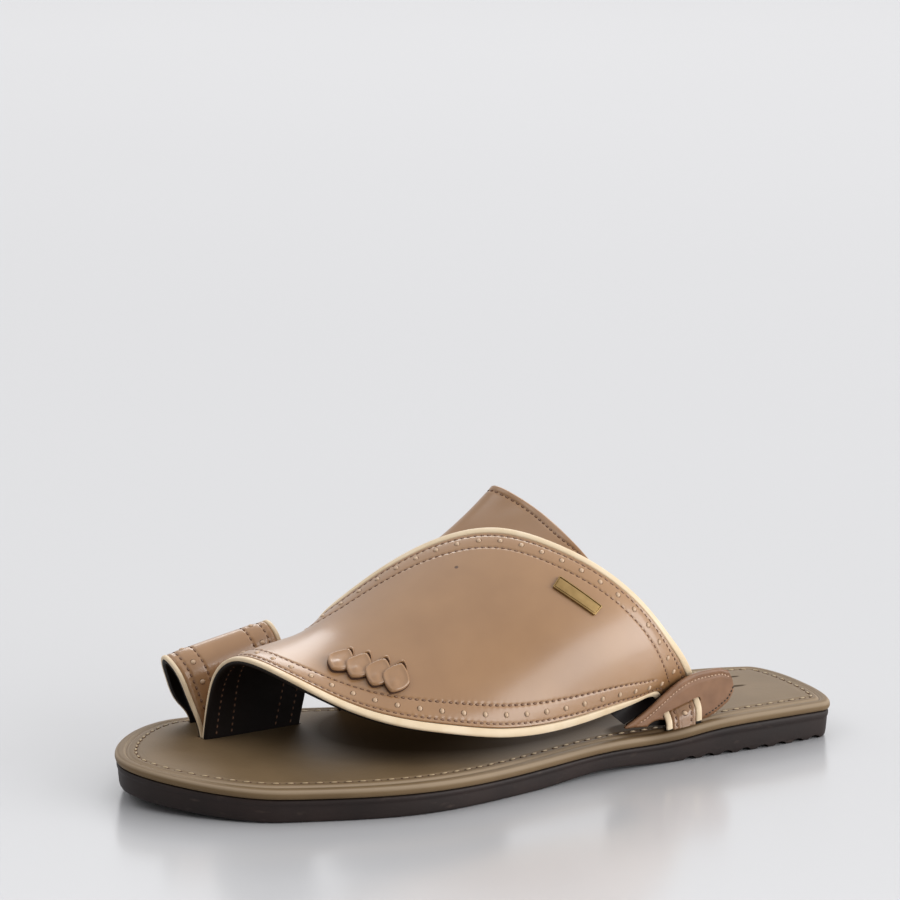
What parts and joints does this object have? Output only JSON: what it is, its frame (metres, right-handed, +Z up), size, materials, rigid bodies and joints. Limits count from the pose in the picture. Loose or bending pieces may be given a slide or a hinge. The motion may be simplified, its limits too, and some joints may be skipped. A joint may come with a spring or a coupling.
{
  "type": "toe-loop slide slipper",
  "caption": "Left leather slide slipper with a big-toe loop, a broad vamp and an instep strap on a padded footbed and a moulded rubber sole.",
  "frame": {"origin": "centre of the bounding box on the floor under the sole", "axes": "+X from heel to toe, +Y to the outer side of the left foot, +Z up from the floor"},
  "size_m": [0.285, 0.115, 0.0975],
  "materials": {
    "brown_rubber": "matt moulded",
    "olive_leather": "soft matt",
    "taupe_leather": "polished",
    "cream_leather": "smooth",
    "aged_brass": "aged"
  },
  "bodies": {
    "root": {"outsole": "brown_rubber", "footbed": "olive_leather", "upper": "taupe_leather", "keeper": "taupe_leather", "ring_front_piping": "cream_leather", "ring_back_piping": "cream_leather", "vamp_front_piping": "cream_leather", "vamp_back_piping": "cream_leather", "petal_1": "taupe_leather", "petal_2": "taupe_leather", "petal_3": "taupe_leather", "petal_4": "taupe_leather", "plate": "aged_brass"}
  },
  "joints": []
}
